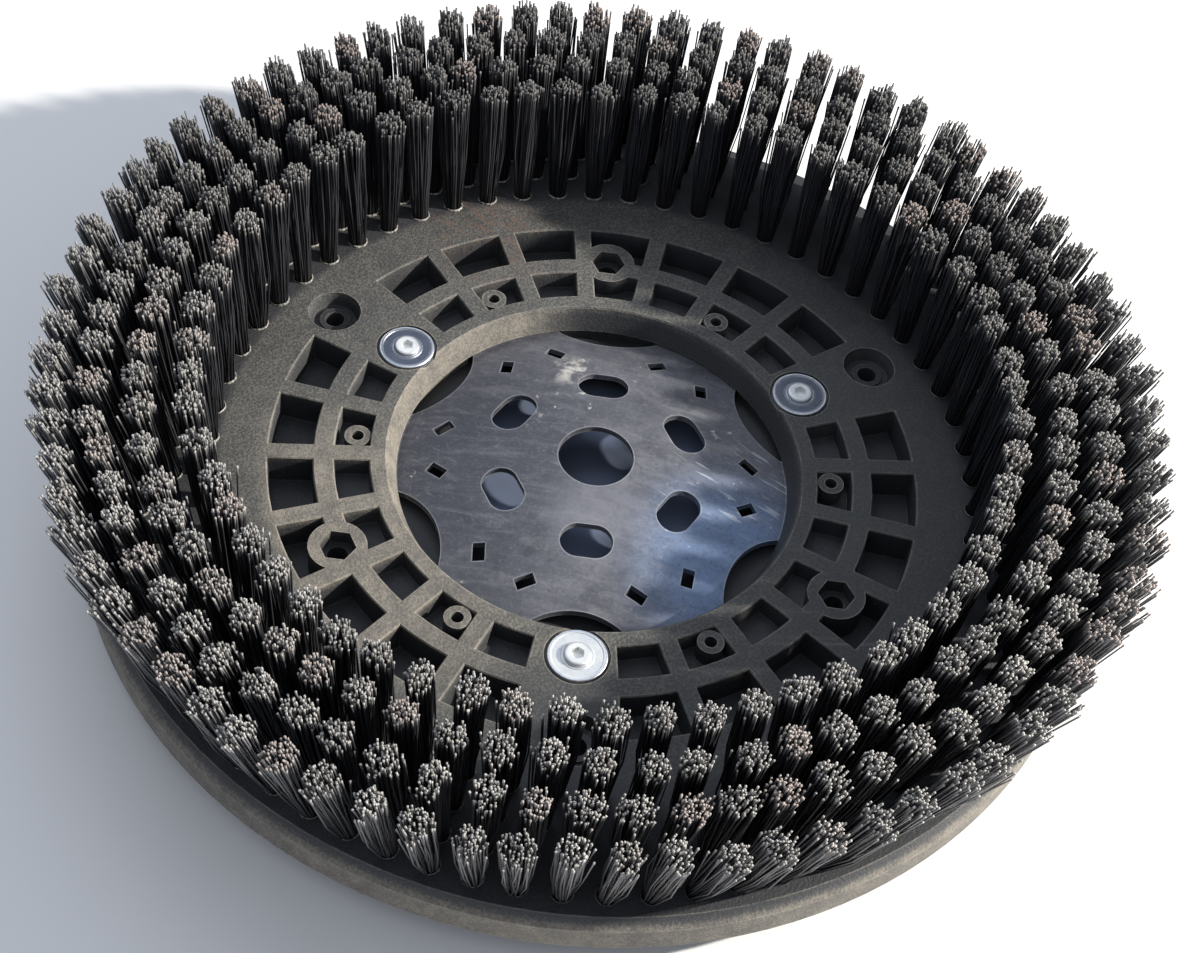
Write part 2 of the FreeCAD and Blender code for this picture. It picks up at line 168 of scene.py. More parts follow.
class Finish:
    """A Principled material that is put together from expressions."""

    def __init__(self, name, **shader):
        self.material = bpy.data.materials.new(name)
        self.material.use_nodes = True
        self.tree = self.material.node_tree
        self.tree.nodes.clear()
        surface = self.tree.nodes.new("ShaderNodeOutputMaterial").inputs["Surface"]
        self.shader = self.tree.nodes.new("ShaderNodeBsdfPrincipled")
        self.tree.links.new(self.shader.outputs[0], surface)
        for key, value in shader.items():
            self.shader.inputs[key.replace("_", " ")].default_value = value
        self.place = self.node("ShaderNodeTexCoord", {}, out="Object")

    def node(self, kind, settings, *inputs, out=0, **named):
        """Any node: its settings first, then values or links for its sockets."""
        made = self.tree.nodes.new(kind)
        for key, value in settings.items():
            setattr(made, key, value)
        pairs = list(zip([s for s in made.inputs if s.enabled], inputs))
        pairs += [(made.inputs[k.replace("_", " ")], v) for k, v in named.items()]
        for socket, value in pairs:
            if isinstance(value, Val):
                self.tree.links.new(value.socket, socket)
            else:
                socket.default_value = value
        return Val(self, made.outputs[out])

    def noise(self, scale, detail=3.0, rough=0.5, distort=0.0, at=None):
        return self.node("ShaderNodeTexNoise", {}, Vector=at or self.place, Scale=scale,
                         Detail=detail, Roughness=rough, Distortion=distort)

    def cells(self, scale):
        """A random colour for each cell of a crystal-like pattern."""
        return self.node("ShaderNodeTexVoronoi", {"feature": "F1"}, out="Color",
                         Vector=self.place, Scale=scale)

    def axes(self, names):
        """The named parts of the place, such as X and Y."""
        return [self.node("ShaderNodeSeparateXYZ", {}, self.place, out=name) for name in names]

    def stretch(self, x, y, z, turn=0.0):
        """The place turned and then scaled along each axis, which makes streaks."""
        return self.node("ShaderNodeMapping", {"vector_type": "TEXTURE"}, self.place,
                         Rotation=(0, 0, turn), Scale=(1 / x, 1 / y, 1 / z))

    def mix(self, factor, a, b):
        """From colour a to colour b."""
        node = self.tree.nodes.new("ShaderNodeMix")
        node.data_type = "RGBA"
        for socket, value in ((node.inputs[0], factor), (node.inputs[6], a), (node.inputs[7], b)):
            if isinstance(value, Val):
                self.tree.links.new(value.socket, socket)
            else:
                socket.default_value = value if isinstance(value, float) else (*value[:3], 1.0)
        return Val(self, node.outputs[2])

    def gap(self, centre):
        """How far the place is from a point, in metres."""
        return self.node("ShaderNodeVectorMath", {"operation": "DISTANCE"}, self.place, centre,
                         out="Value")

    def patch(self, centre, near, far):
        """1 within near of a point and 0 beyond far, in metres."""
        return 1.0 - self.gap(centre).ramp(near, far)

    def dot(self, a, b):
        return self.node("ShaderNodeVectorMath", {"operation": "DOT_PRODUCT"}, a, b, out="Value")

    def facing(self, direction, low=0.0, high=1.0):
        """1 on faces that look along a direction, 0 on those that look away."""
        normal = self.node("ShaderNodeNewGeometry", {}, out="Normal")
        return self.dot(normal, direction).ramp(low, high)

    def edges(self, radius):
        """Near 1 where the surface turns sharply within a radius."""
        rounded = self.node("ShaderNodeBevel", {"samples": 4}, radius)
        plain = self.node("ShaderNodeNewGeometry", {}, out="Normal")
        return (1.0 - self.dot(rounded, plain)).ramp(0.01, 0.16)

    def feed(self, name, value):
        """Link an expression to a socket of the shader."""
        self.tree.links.new(value.socket, self.shader.inputs[name])

    def bump(self, height, strength, distance):
        made = self.node("ShaderNodeBump", {}, Strength=strength, Distance=distance, Height=height)
        self.feed("Normal", made)


print("material class ready")

# %% [markdown]
# ## Dusty black plastic
#
# The block is moulded in black plastic that has dried grey-beige: road dust lies in a mottled film on
# every face that looks up, and the handled edges are rubbed to a paler cream. Noises of different size make
# the film uneven, and the edge mask adds the rubbed line. Light and shade are painted in as well: walls
# that look towards the lamp's side are painted pale as painted light, the face on that side is painted
# darker as the bristles' painted shadow, with a patch of painted shade in front, and the face between the
# tufts is painted dark as shade. Dust lies at the face, so the pockets below it stay bare and dark, which
# is partly painted shade. The dust is rough and the bare plastic less so, which roughness follows.

# %% Block plastic
LAMP_SIDE = (0.8494, -0.5277, 0.0)  # walls that look this way are painted pale as painted light, and the face on this side is painted darker as the bristles' painted shadow
OPENING_EDGE = (0.0880, 0.0905)  # radii in metres, from one side of a soft border to the other
TUFTS_FROM, TUFTS_TO = (0.1545, 0.1590), (0.2105, 0.2125)
LATTICE_TO, RIM_FROM = (0.135, 0.145), (0.2115, 0.2135)
# middles of a patch of painted shade, of a pale dust patch and of a stain
SHADE_AT, CREAM_AT, STAIN_AT = (-0.074, -0.124, FACE_Z), (-0.118, -0.012, FACE_Z), (0.008, 0.139, FACE_Z)


def block_finish():
    m = Finish("dusty_black_plastic_painted_light")
    cloud = m.noise(14.0, 4.0, 0.55)
    blotch = m.noise(110.0, 5.0, 0.65, 0.5)
    grain = m.noise(850.0, 3.0, 0.7)
    speck = m.noise(2400.0, 2.0, 0.6)
    x, y, z = m.axes("XYZ")
    radius = (x * x + y * y) ** 0.5
    up = m.facing((0, 0, 1))
    # painted light: walls that face the lamp's side are painted paler
    lamp_facing = m.facing(LAMP_SIDE, 0.12, 0.50)
    at_face = z.ramp(FACE_Z - 0.004, FACE_Z - 0.0012)
    opening = 1.0 - radius.ramp(*OPENING_EDGE)
    rim = radius.ramp(*RIM_FROM)
    film = (0.25 * cloud + 0.35 * blotch + 0.40 * grain).ramp(0.38, 0.62)
    # painted light on the upper walls that face the lamp's side
    lit_walls = lamp_facing * (0.10 + 0.30 * z.ramp(FACE_Z - 0.012, FACE_Z))
    # how far dust lies: on the face, the rim and the lamp-facing walls of the opening, the last partly
    # painted light; below the face the pockets stay bare and dark, partly painted shade
    reach = at_face * (0.25 + 0.75 * up) + opening * (0.06 + 0.70 * lamp_facing) + rim * 0.95
    reach = (reach + lit_walls + 0.04).clamp()
    # painted shade: the face among the tufts is painted dark
    tuft_gap_shade = radius.ramp(*TUFTS_FROM) * (1.0 - radius.ramp(*TUFTS_TO))
    # painted shadow of the bristles on the face towards the lamp's side, and a patch of painted shade in
    # front
    bristle_shadow = (x * LAMP_SIDE[0] + y * LAMP_SIDE[1]).ramp(0.010, 0.105) * at_face * (1.0 - rim)
    bristle_shadow = (bristle_shadow + m.patch(SHADE_AT, 0.018, 0.050)).clamp()
    # the dust, made paler by painted light on lamp-facing walls and darker by painted shade among the tufts
    # and the bristles' painted shadow
    dust_light_and_shade = (film * 0.55 + 0.45) * reach * (1.0 - 0.86 * tuft_gap_shade) * (1.0 - 0.62 * bristle_shadow)
    bare = m.mix(speck.ramp(0.35, 0.7), (0.024, 0.026, 0.031), (0.044, 0.046, 0.051))
    grey = m.mix(grain.ramp(0.4, 0.62), (0.088, 0.090, 0.086), (0.165, 0.158, 0.142))
    creamy = m.patch(CREAM_AT, 0.030, 0.105) * at_face * (1.0 - bristle_shadow) * (1.0 - radius.ramp(*LATTICE_TO))
    # pale dust and a paler rim, plus painted light on the opening's walls that face the lamp's side
    cream = (creamy + opening * 0.85 * lamp_facing + rim * 0.70).clamp()
    grey = m.mix((cream * (0.45 + 0.55 * blotch)).clamp(), grey, (0.33, 0.295, 0.245))
    dusty_and_shaded = m.mix(dust_light_and_shade.clamp(), bare, grey)
    streak = m.noise(1.0, 3.0, 0.6, 1.0, at=m.stretch(480.0, 90.0, 90.0, 0.6)).ramp(0.50, 0.62)
    stain = m.patch(STAIN_AT, 0.012, 0.042) * streak * reach
    dusty_and_shaded = m.mix((stain * 0.7).clamp(), dusty_and_shaded, (0.165, 0.105, 0.082))
    rub = m.edges(0.0009) * (0.40 + 0.60 * blotch.ramp(0.35, 0.6)) * (0.25 + 0.75 * reach)
    m.feed("Base Color", m.mix((rub * 0.80).clamp(), dusty_and_shaded, (0.46, 0.42, 0.35)))
    m.feed("Roughness", (0.50 + 0.32 * dust_light_and_shade + 0.08 * grain).clamp())
    m.bump(0.6 * grain + 0.4 * speck + 0.5 * film, 0.40, 0.0006)
    return m.material


PLASTIC = block_finish()
print("made", PLASTIC.name)

# %% [markdown]
# ## Worn zinc on steel
#
# The drive plate is pressed from galvanised sheet: a lilac-grey, softly shining skin with a cloudy bloom,
# fine scratches where tools and hubs have turned on it, and pale corroded spots. Noise stretched along
# one direction makes the scratches; two directions together look like years of use. Soft round patches
# paint a dark painted reflection on one part, a painted highlight on another, a blue painted reflection of
# the sky on a third and pale painted streaks of light on a fourth. The flange behind it is the same sheet:
# on its upper face the middle is painted bluish as painted sky light, the very middle darker as painted
# shade, and the outside nearly black as painted shade.

# %% Drive plate steel
PLATE_Z = 0.016
# middles of a dark painted reflection, a blue painted sky reflection, pale painted streaks of light and a
# painted highlight
DARK_REFLECTION_AT, SKY_REFLECTION_AT = (-0.050, 0.031, PLATE_Z), (0.036, -0.070, PLATE_Z)
LIGHT_STREAKS_AT, HIGHLIGHT_AT = (0.052, -0.034, PLATE_Z), (-0.012, -0.026, PLATE_Z)
SCUFF_AT = (0.013, 0.051, 0.0165)


def plate_finish():
    m = Finish("worn_galvanised_sheet_painted_light")
    cloud = m.noise(22.0, 5.0, 0.6, 0.6)
    bloom_and_glint = m.noise(130.0, 4.0, 0.65)
    facet = m.node("ShaderNodeSeparateColor", {}, m.cells(160.0))
    long_a = m.noise(1.0, 2.0, 0.6, at=m.stretch(2600.0, 60.0, 300.0, 0.5))
    long_b = m.noise(1.0, 2.0, 0.6, at=m.stretch(70.0, 2400.0, 300.0, 0.2))
    scratch = (long_a.ramp(0.66, 0.74) + long_b.ramp(0.68, 0.76)).clamp() * cloud.ramp(0.42, 0.6)
    spots = m.noise(210.0, 3.0, 0.7).ramp(0.64, 0.72) * m.noise(26.0, 2.0).ramp(0.5, 0.66)
    # a dark painted reflection and a blue painted reflection of the sky
    dark_reflection = m.patch(DARK_REFLECTION_AT, 0.018, 0.085)
    sky_reflection = m.patch(SKY_REFLECTION_AT, 0.020, 0.062)
    skin = m.mix(cloud.ramp(0.3, 0.7), (0.082, 0.085, 0.098), (0.158, 0.162, 0.184))
    mottle = m.noise(430.0, 4.0, 0.72, 1.2)
    skin = m.mix((facet * 0.14 + bloom_and_glint * 0.12).clamp(), skin, (0.36, 0.37, 0.42))
    skin = m.mix(dark_reflection * 0.70, skin, (0.050, 0.052, 0.068))
    skin = m.mix((sky_reflection * (0.40 + 0.60 * bloom_and_glint)).clamp(), skin, (0.195, 0.305, 0.520))
    skin = m.mix((scratch * 0.50).clamp(), skin, (0.62, 0.64, 0.68))
    smear = m.noise(1.0, 4.0, 0.65, 0.8, at=m.stretch(38.0, 210.0, 60.0, math.radians(-38)))
    skin = m.mix(smear.ramp(0.46, 0.72) * 0.22, skin, (0.400, 0.385, 0.410))
    skin = m.mix((1.0 - smear.ramp(0.30, 0.50)) * 0.25, skin, (0.070, 0.071, 0.083))
    skin = m.mix(mottle.ramp(0.52, 0.70) * 0.30, skin, (0.330, 0.325, 0.345))
    skin = m.mix((1.0 - mottle.ramp(0.34, 0.50)) * 0.35, skin, (0.072, 0.075, 0.088))
    # pale painted streaks of light, and a painted highlight
    streak_lines = m.noise(1.0, 2.0, 0.55, at=m.stretch(55.0, 330.0, 60.0, math.radians(-48)))
    light_streaks = m.patch(LIGHT_STREAKS_AT, 0.022, 0.042) * streak_lines.ramp(0.60, 0.68)
    painted_highlight = m.patch(HIGHLIGHT_AT, 0.006, 0.030)
    skin = m.mix((painted_highlight * (0.15 + 0.5 * bloom_and_glint)).clamp(), skin, (0.34, 0.34, 0.38))
    skin = m.mix((light_streaks * 0.55).clamp(), skin, (0.62, 0.67, 0.74))
    worn = (spots * 0.75).clamp()
    rub = m.edges(0.0012)
    skin = m.mix((rub * 0.42).clamp(), skin, (0.74, 0.75, 0.77))
    scuff = m.patch(SCUFF_AT, 0.004, 0.014) * bloom_and_glint.ramp(0.42, 0.6)
    worn = (worn + 0.8 * scuff).clamp()
    m.feed("Base Color", m.mix(worn, skin, (0.62, 0.60, 0.55)))
    m.feed("Metallic", (0.50 - 0.35 * worn - 0.10 * cloud).clamp())
    m.feed("Roughness", (0.36 + 0.22 * cloud + 0.12 * bloom_and_glint + 0.2 * worn - 0.10 * scratch).clamp())
    m.bump(0.5 * bloom_and_glint + 0.25 * cloud + 0.3 * mottle - 0.4 * scratch + 0.5 * worn, 0.25, 0.0006)
    return m.material


STEEL = plate_finish()
print("made", STEEL.name)

# %% Flange steel
MIDDLE = (0, 0, 0.004)  # the middle of the flange's upper face


def flange_finish():
    m = Finish("galvanised_flange_painted_shade")
    cloud = m.noise(18.0, 4.0, 0.6)
    grain = m.noise(700.0, 2.0, 0.6)
    ring = m.noise(1.0, 2.0, 0.5, at=m.stretch(900.0, 40.0, 200.0))
    skin = m.mix(cloud.ramp(0.3, 0.7), (0.17, 0.17, 0.185), (0.30, 0.295, 0.30))
    skin = m.mix((m.edges(0.001) * 0.45).clamp(), skin, (0.6, 0.6, 0.6))
    up = m.facing((0, 0, 1))
    # painted light: the middle of the upper face, seen through the plate's holes, is painted bluish as sky
    # light
    sky_lit_middle = m.patch(MIDDLE, 0.054, 0.062)
    skin = m.mix(up * sky_lit_middle, skin, (0.190, 0.235, 0.335))
    # painted shade at the very middle of the upper face
    hub_shade = m.patch(MIDDLE, 0.019, 0.026)
    skin = m.mix(up * hub_shade * (0.55 + 0.25 * cloud), skin, (0.060, 0.070, 0.100))
    # painted shade: outside the middle the upper face is painted nearly black
    skin = m.mix(up * (1.0 - sky_lit_middle) * 0.9, skin, (0.030, 0.031, 0.035))
    m.feed("Base Color", skin)
    m.feed("Roughness", (0.42 + 0.25 * cloud + 0.08 * ring).clamp())
    m.feed("Metallic", (0.85 - 0.3 * cloud - 0.22 * up).clamp())
    m.bump(0.6 * grain + 0.4 * ring, 0.2, 0.0004)
    return m.material


FLANGE = flange_finish()
print("made", FLANGE.name)

# %% [markdown]
# ## Bright zinc and drawn wire
#
# Washers and screws are zinc plated: pale, a little blue, and cloudy. Each washer is painted in its own
# way,
# so the mask is built round each one: two have a ring painted dark as painted shade and one a pale painted
# sheen, and the screw heads get a whitish painted highlight. The wire anchors are hidden in the block and
# get a plain bright metal.

# %% Zinc and wire
WASHERS = ((1, 0.85, 0.0), (2, 0.85, 0.0), (3, 0.05, 0.60))  # number, painted shade on its ring, painted sheen on its ring


def zinc_finish():
    m = Finish("zinc_painted_sheen")
    cloud = m.noise(160.0, 3.0, 0.6)
    grain = m.noise(1900.0, 2.0, 0.6)
    dirt = m.noise(420.0, 3.0, 0.7).ramp(0.55, 0.72)
    skin = m.mix(cloud.ramp(0.3, 0.7), (0.52, 0.56, 0.64), (0.74, 0.77, 0.81))
    skin = m.mix((dirt * 0.40).clamp(), skin, (0.36, 0.36, 0.37))
    bloom_and_glint = 0.0
    for number, painted_shade, painted_sheen in WASHERS:
        low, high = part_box(f"clamp_washer_{number}")
        gap = m.gap((low + high) / 2)
        head = 1.0 - gap.ramp(0.0050, 0.0062)
        ring = gap.ramp(0.0054, 0.0068) * (1.0 - gap.ramp(0.0106, 0.0116))
        # painted shade: a dark ring round the washer
        skin = m.mix((ring * (painted_shade + 0.20 * cloud)).clamp(), skin, (0.105, 0.120, 0.160))
        # painted highlight on the screw head and painted sheen on the ring
        bloom_and_glint = head * 0.8 + ring * painted_sheen + bloom_and_glint
    bloom_and_glint = (bloom_and_glint * (0.6 + 0.6 * cloud)).clamp()
    skin = m.mix(bloom_and_glint, skin, (0.86, 0.87, 0.84))
    m.feed("Metallic", 1.0 - 0.75 * bloom_and_glint)
    m.feed("Base Color", m.mix((m.edges(0.0006) * 0.8).clamp(), skin, (0.95, 0.95, 0.94)))
    m.feed("Roughness", (0.34 + 0.20 * cloud + 0.22 * dirt).clamp())
    m.bump(0.7 * grain + 0.3 * cloud, 0.30, 0.0004)
    return m.material


def wire_finish():
    m = Finish("drawn_flat_wire", Metallic=1.0)
    line = m.noise(1400.0, 2.0, 0.5)
    m.feed("Base Color", m.mix(line, (0.35, 0.35, 0.36), (0.6, 0.6, 0.6)))
    m.feed("Roughness", 0.3 + 0.25 * line)
    return m.material


ZINC, WIRE = zinc_finish(), wire_finish()
print("made", ZINC.name, "and", WIRE.name)

# %% [markdown]
# ## Bristle nylon
#
# The filaments are black nylon, dull along the shaft with a little dust near the block. Their cut ends
# are worn to a frayed pale grey, and that speckle of pale dots is what one sees first on such a brush. The
# worn ends are painted palest on one side of the brush and darker away from it, which is painted shade, and
# the outward sides of its outer tufts are paler too. Three numbers ride on the mesh for this: "along" runs
# from 0 at the root to 1 at the tip, "strand" is random for each filament and "tuft" for each tuft, so
# neighbours differ.

# %% Nylon
LIT_TIPS_WAY = (-0.60, -0.80)  # the tips are painted palest on this side of the brush and darker away from it, as painted shade
OUTER_TIPS = (0.207, 0.221)  # radii in metres


def nylon_finish():
    m = Finish("black_nylon_filament", Specular_IOR_Level=0.30)
    along = m.node("ShaderNodeAttribute", {"attribute_name": "along"}, out="Fac")
    strand = m.node("ShaderNodeAttribute", {"attribute_name": "strand"}, out="Fac")
    tuft = m.node("ShaderNodeAttribute", {"attribute_name": "tuft"}, out="Fac")
    fleck = m.noise(1500.0, 2.0, 0.6)
    shaft = m.mix(strand, (0.020, 0.022, 0.028), (0.052, 0.052, 0.058))
    low = (1.0 - along.ramp(0.02, 0.22)) * (0.2 + 0.5 * fleck)
    shaft = m.mix((low * 0.30).clamp(), shaft, (0.12, 0.115, 0.10))
    x, y = m.axes("XY")
    # painted shade: tips darker away from the pale side; the pale wear itself is real
    wear_and_tip_shade = (x * LIT_TIPS_WAY[0] + y * LIT_TIPS_WAY[1]).ramp(-0.20, 0.15, 0.20, 1.0)
    worn = along.ramp(0.90, 0.98) * (0.62 + 0.4 * strand) * (0.50 + 0.7 * fleck)
    shaft = m.mix((worn * wear_and_tip_shade).clamp(), shaft, (0.36, 0.35, 0.34))
    outer = ((x * x + y * y) ** 0.5).ramp(*OUTER_TIPS) * along.ramp(0.30, 0.85) * wear_and_tip_shade
    shaft = m.mix((outer * (0.32 + 0.50 * strand)).clamp(), shaft, (0.25, 0.25, 0.26))
    pale = ((0.8 * strand + 0.6 * fleck - 0.02) * wear_and_tip_shade).clamp()
    end = m.mix(pale, (0.095, 0.093, 0.090), (0.58, 0.56, 0.53))
    end = m.mix((tuft.ramp(0.72, 0.95) * 0.5).clamp(), end, (0.46, 0.36, 0.32))
    m.feed("Base Color", m.mix(along.ramp(0.984, 0.994), shaft, end))
    m.feed("Roughness", (0.46 + 0.3 * along.ramp(0.8, 1.0) + 0.1 * fleck).clamp())
    return m.material


NYLON = nylon_finish()
print("made", NYLON.name)

# %% [markdown]
# ## Lip plastic, and the finishes on the CAD pieces
#
# The lips round the tuft holes stand proud and are painted pale with a grainy painted highlight on the side
# of the brush away from the lamp, and dark in the bristles' painted shadow on the lamp's side. With that,
# every finish is ready, and each CAD piece gets the one of its own slot.

# %% Lip plastic
def lip_finish():
    m = Finish("lip_plastic_painted_highlight")
    grain = m.noise(900.0, 3.0, 0.6)
    x, y = m.axes("XY")
    # painted highlight: pale lips away from the lamp's side, dark ones in the bristles' painted shadow
    rub_and_glint = grain.ramp(0.35, 0.65) * (1.0 - 0.9 * (x * LAMP_SIDE[0] + y * LAMP_SIDE[1]).ramp(-0.06, 0.06))
    m.feed("Base Color", m.mix(rub_and_glint, (0.05, 0.05, 0.052), (0.50, 0.47, 0.42)))
    m.feed("Roughness", 0.38 + 0.2 * grain)
    m.bump(grain, 0.3, 0.0004)
    return m.material


LIP_PLASTIC = lip_finish()
print("made", LIP_PLASTIC.name)

# %% Finishes on the CAD pieces
FINISH_OF = {"block_plastic": PLASTIC, "plate_steel": STEEL, "flange_steel": FLANGE,
             "zinc_plating": ZINC, "anchor_wire": WIRE, "bristle_nylon": NYLON}
for node in frame["nodes"].values():
    for holder in node.material_slots:
        holder.material = FINISH_OF[holder.material.name.split(".")[0]]
print("finished", len(frame["nodes"]), "CAD nodes")

# %% [markdown]
# ## One filament
#
# A filament is some three quarters of a millimetre thick and 62 mm long above the face, a little bowed,
# with a blunt, worn end. Nearly twenty-five thousand are copied from this one, so it has only fourteen
# faces: a four-sided cylinder, cut across where it should bend, and flared at the very end, where use has
# frayed it.

# %% Model the filament
FREE_LENGTH = 62 * MM
FILAMENT_R = 0.385 * MM
FILAMENT_SIDES = 4
CUTS = (0.5, 0.975)  # how far along the filament it can bend
FLARE = 1.42


def make_filament():
    fresh()
    bpy.ops.mesh.primitive_cylinder_add(vertices=FILAMENT_SIDES, radius=1.0, depth=1.0,
                                        end_fill_type="NGON", location=(0, 0, 0.5))
    rod = bpy.context.object
    settle(rod, "filament")
    for height in CUTS:
        bpy.ops.object.mode_set(mode="EDIT")
        bpy.ops.mesh.select_all(action="SELECT")
        bpy.ops.mesh.bisect(plane_co=(0, 0, height), plane_no=(0, 0, 1))
        bpy.ops.object.mode_set(mode="OBJECT")
    pick_points(rod, lambda c: c.z > 0.999)
    bpy.ops.transform.resize(value=(FLARE, FLARE, 1.0), center_override=(0, 0, 1.0))
    bpy.ops.object.mode_set(mode="OBJECT")
    return rod


FILAMENT = make_filament()
print("filament:", len(FILAMENT.data.vertices), "points,", len(FILAMENT.data.polygons), "faces")

# %% [markdown]
# ## Many copies in one mesh
#
# The filaments of a ring, and the lips round its holes, are far too many to be objects of their own. Both
# are made the same way: the points of the one modelled piece are moved to every place, and the faces are
# repeated over them, so a ring is one mesh with the same few faces again and again.

# %% Helpers for copies
def mesh_arrays(obj):
    points = np.array([v.co for v in obj.data.vertices])
    faces = [tuple(p.vertices) for p in obj.data.polygons]
    return points, faces


def repeated_mesh(name, points, faces, copies):
    """Repeat the faces over points that are listed copy after copy."""
    step = len(points) // copies
    polys = [tuple(v + i * step for v in face) for i in range(copies) for face in faces]
    mesh = bpy.data.meshes.new(name)
    mesh.from_pydata(points.tolist(), [], polys)
    mesh.polygons.foreach_set("use_smooth", [True] * len(polys))
    mesh.update()
    return mesh


def place_piece(mesh, material):
    """An object for a finished mesh, riding on the brush."""
    piece = bpy.data.objects.new(mesh.name, mesh)
    bpy.context.collection.objects.link(piece)
    mesh.materials.append(material)
    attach(piece, "root")
    return piece


print("copy helpers ready")

# %% [markdown]
# ## Growing the tufts
#
# A tuft is some ninety filaments packed tight in one hole of the block and spread a little at the tip. The
# outer rings lean outwards more than the inner one, so the brush flares, and their tufts are combed out and
# a little longer on the outward side. In each tuft the filaments start in a sunflower pattern, which packs
# a disc evenly, and end in the same pattern made wider and loosened by chance. Some tufts are squashed to
# an oval, some twist, a few filaments stray, and each one is bowed and cut at a slightly different height.
# The chance is seeded, so it is the same every time.

# %% Tuft measures
RINGS = (  # tufts, root circle, tip circle in millimetres, first angle in degrees
    (60, 161.5, 164.7, 5.30),
    (66, 175.0, 182.9, 3.60),
    (72, 188.5, 200.5, 2.35),
    (78, 201.5, 217.8, 1.45),
)
PER_TUFT = 90
SPLAY = (0.0, 0.05, 0.15, 0.40)  # how far the outward side of a tuft is combed out, ring by ring
HIGH_SIDE = (0.2, 0.5, 1.1, 2.6)  # how much longer the outward side of a tuft is, in millimetres
SUNK = 3 * MM  # how deep the filaments start in the block
ROOT_SPREAD, TIP_SPREAD = 3.45 * MM, 5.75 * MM  # radius of a tuft in the hole and at its tip
WIDEST = 1.55  # no filament ends further out than this many tip spreads
STRAY_SHARE, SHORT_SHARE = 0.09, 0.12  # shares of the filaments that stray or are cut short
BEND = 0.65  # under 1, a filament leaves the tuft's axis early
print(sum(ring[0] for ring in RINGS), "tufts,", sum(ring[0] for ring in RINGS) * PER_TUFT, "filaments")

# %% One tuft
def sunflower(count, radius):
    i = np.arange(count)
    r = radius * np.sqrt((i + 0.5) / count)
    a = i * math.radians(137.508)
    return np.stack([r * np.cos(a), r * np.sin(a)], 1)


def tuft_ends(rng, splay):
    """Where the filaments of a tuft end, seen along it: outwards first, then sideways."""
    spread = TIP_SPREAD * rng.uniform(0.90, 1.12)
    oval = rng.uniform(0.84, 1.12)
    twist = rng.normal(0, 0.25)
    turn = np.array([[math.cos(twist), -math.sin(twist)], [math.sin(twist), math.cos(twist)]])
    ends = sunflower(PER_TUFT, spread) @ turn.T * np.array([oval, 1 / oval])
    ends += rng.normal(0, 0.75 * MM, ends.shape)
    ends[:, 0] += splay * np.maximum(ends[:, 0], 0) * rng.uniform(0.5, 1.6)
    lean = rng.normal(0, 1.0 * MM, 2)
    stray = rng.random(PER_TUFT) < STRAY_SHARE
    ends[stray] += rng.normal(0, 1.7 * MM, (int(stray.sum()), 2))
    ends *= np.minimum(1.0, WIDEST * spread / np.linalg.norm(ends, axis=1))[:, None]
    return ends, lean, spread


def tuft_lengths(rng, ends, spread, length, high_side):
    """How long each filament is: a low crown, a higher outward side and a few short ones."""
    crown = (ends ** 2).sum(1) / spread ** 2
    reach = length + rng.normal(0.4 * MM, 1.2 * MM, PER_TUFT)
    reach -= 1.6 * MM * np.minimum(crown, 2.0)
    reach += high_side * MM * np.clip(ends[:, 0] / spread, -1.0, 1.3)
    reach -= np.where(rng.random(PER_TUFT) < SHORT_SHARE, rng.uniform(0.5, 4.0, PER_TUFT) * MM, 0)
    return reach


def bend_filament(base, start, end, bow, reach, roll):
    """The points of one filament: their places across the tuft and their heights along it."""
    t = base[:, 2]
    ease, mid = t ** BEND, 4 * t * (1 - t)
    centre = start + (end - start) * ease[:, None] + bow * mid[:, None]
    slope = (end - start) / reach
    radius = FILAMENT_R * (1 - 0.06 * t)
    c, s = math.cos(roll), math.sin(roll)
    section = base[:, :2] @ np.array([[c, s], [-s, c]])
    height = -SUNK + t * (reach + SUNK) - (section @ slope) * radius
    return centre + section * radius[:, None], height


print("a tuft of", PER_TUFT, "filaments, about", round(2000 * TIP_SPREAD, 1), "mm across at the tip")

# %% Tuft rings
def grow_ring(number, tufts, root_r, tip_r, first):
    rng = np.random.default_rng(4100 + number)
    base, faces = mesh_arrays(FILAMENT)
    tilt = math.atan2((tip_r - root_r) * MM, FREE_LENGTH)
    starts = sunflower(PER_TUFT, ROOT_SPREAD)
    points, along, strand, tuft_tone = [], [], [], []
    for k in range(tufts):
        angle = math.radians(first + 360.0 * k / tufts)
        out = np.array([math.cos(angle), math.sin(angle), 0.0])
        side = np.array([-math.sin(angle), math.cos(angle), 0.0])
        axis = out * math.sin(tilt) + np.array([0, 0, math.cos(tilt)])
        across = np.cross(side, axis)
        root = out * root_r * MM + np.array([0, 0, FACE_Z])
        ends, lean, spread = tuft_ends(rng, SPLAY[number - 1])
        bow = rng.normal(0, 0.70 * MM, (PER_TUFT, 2))
        reach = tuft_lengths(rng, ends, spread, FREE_LENGTH / math.cos(tilt), HIGH_SIDE[number - 1])
        shade = rng.random(PER_TUFT) * 0.75 + rng.random() * 0.25
        tuft_tone.append(np.full(len(base) * PER_TUFT, rng.random()))
        roll = rng.uniform(0, math.pi / 2, PER_TUFT)
        for f in range(PER_TUFT):
            flat, height = bend_filament(base, starts[f], ends[f] + lean, bow[f], reach[f], roll[f])
            points.append(root + flat[:, :1] * across + flat[:, 1:] * side + height[:, None] * axis)
            along.append(base[:, 2])
            strand.append(np.full(len(base), shade[f]))
    mesh = repeated_mesh(f"bristles_{number}", np.concatenate(points), faces, tufts * PER_TUFT)
    for name, values in (("along", along), ("strand", strand), ("tuft", tuft_tone)):
        layer = mesh.attributes.new(name, "FLOAT", "POINT")
        layer.data.foreach_set("value", np.concatenate(values).astype(np.float32))
    ring = place_piece(mesh, NYLON)
    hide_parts(f"tuft_ring_{number}")
    return ring


